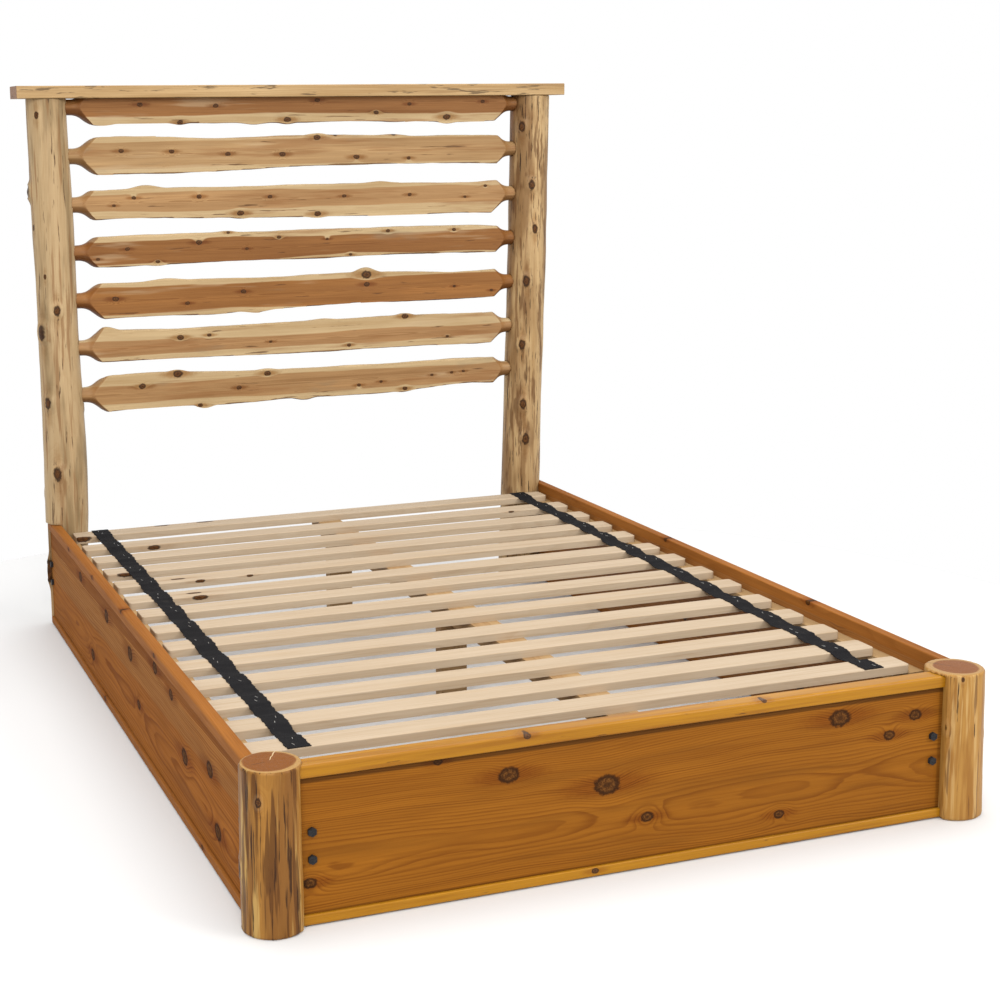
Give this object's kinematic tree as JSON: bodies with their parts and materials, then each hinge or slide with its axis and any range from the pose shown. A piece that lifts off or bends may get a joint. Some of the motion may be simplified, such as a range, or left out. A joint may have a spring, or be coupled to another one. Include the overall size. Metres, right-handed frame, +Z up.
{
  "type": "rustic log bed",
  "caption": "Rustic peeled-log bed with a half-log headboard under a plank cap, boxed side and foot rails, and a loose mat of strapped slats that carries a mattress",
  "frame": {"origin": "on the floor at the centre of the bed's footprint (the bottom centre of its bounding box)", "axes": "+X to the right seen from the foot end, +Y towards the headboard, +Z up"},
  "size_m": [1.69, 2.2711, 1.581],
  "materials": {
    "log_wood": "peeled cedar log, clear satin coat",
    "half_log_wood": "sawn and peeled cedar, clear satin coat",
    "plank_wood": "planed cedar, clear satin coat",
    "board_wood": "planed cedar, clear satin coat",
    "trim_wood": "rounded cedar, clear satin coat",
    "pale_wood": "planed softwood, unfinished",
    "webbing": "woven black webbing",
    "black_steel": "black",
    "zinc_steel": "zinc plated"
  },
  "bodies": {
    "bed_frame": {"head_post_left": "log_wood", "head_post_right": "log_wood", "foot_post_left": "log_wood", "foot_post_right": "log_wood", "headboard_rail_1": "half_log_wood", "headboard_rail_2": "half_log_wood", "headboard_rail_3": "half_log_wood", "headboard_rail_4": "half_log_wood", "headboard_rail_5": "half_log_wood", "headboard_rail_6": "half_log_wood", "headboard_rail_7": "half_log_wood", "headboard_cap": "plank_wood", "side_rail_board_left": "board_wood", "side_rail_board_right": "board_wood", "foot_rail_board": "board_wood", "side_rail_top_trim_left": "trim_wood", "side_rail_top_trim_right": "trim_wood", "side_rail_bottom_trim_left": "trim_wood", "side_rail_bottom_trim_right": "trim_wood", "foot_rail_top_trim": "trim_wood", "foot_rail_bottom_trim": "trim_wood", "slat_ledger_left": "pale_wood", "slat_ledger_right": "pale_wood", "centre_beam": "pale_wood", "centre_leg_head": "pale_wood", "centre_leg_middle": "pale_wood", "centre_leg_foot": "pale_wood", "foot_rail_bolts": "black_steel", "side_rail_bolts": "black_steel", "head_lag_screws": "black_steel", "bolt_washers": "black_steel", "bolt_nuts": "black_steel", "corner_brackets": "zinc_steel", "bracket_screws": "zinc_steel", "cap_screws": "zinc_steel", "ledger_screws": "zinc_steel", "leg_screws": "zinc_steel"},
    "slat_mat": {"slat_01": "pale_wood", "slat_02": "pale_wood", "slat_03": "pale_wood", "slat_04": "pale_wood", "slat_05": "pale_wood", "slat_06": "pale_wood", "slat_07": "pale_wood", "slat_08": "pale_wood", "slat_09": "pale_wood", "slat_10": "pale_wood", "slat_11": "pale_wood", "slat_12": "pale_wood", "slat_13": "pale_wood", "slat_14": "pale_wood", "slat_strap_left": "webbing", "slat_strap_right": "webbing"}
  },
  "joints": [
    {"name": "slat_mat_lift", "type": "slide", "parent": "bed_frame", "child": "slat_mat", "axis": [0, 0, 1], "range_m": [0, 0.12]}
  ]
}
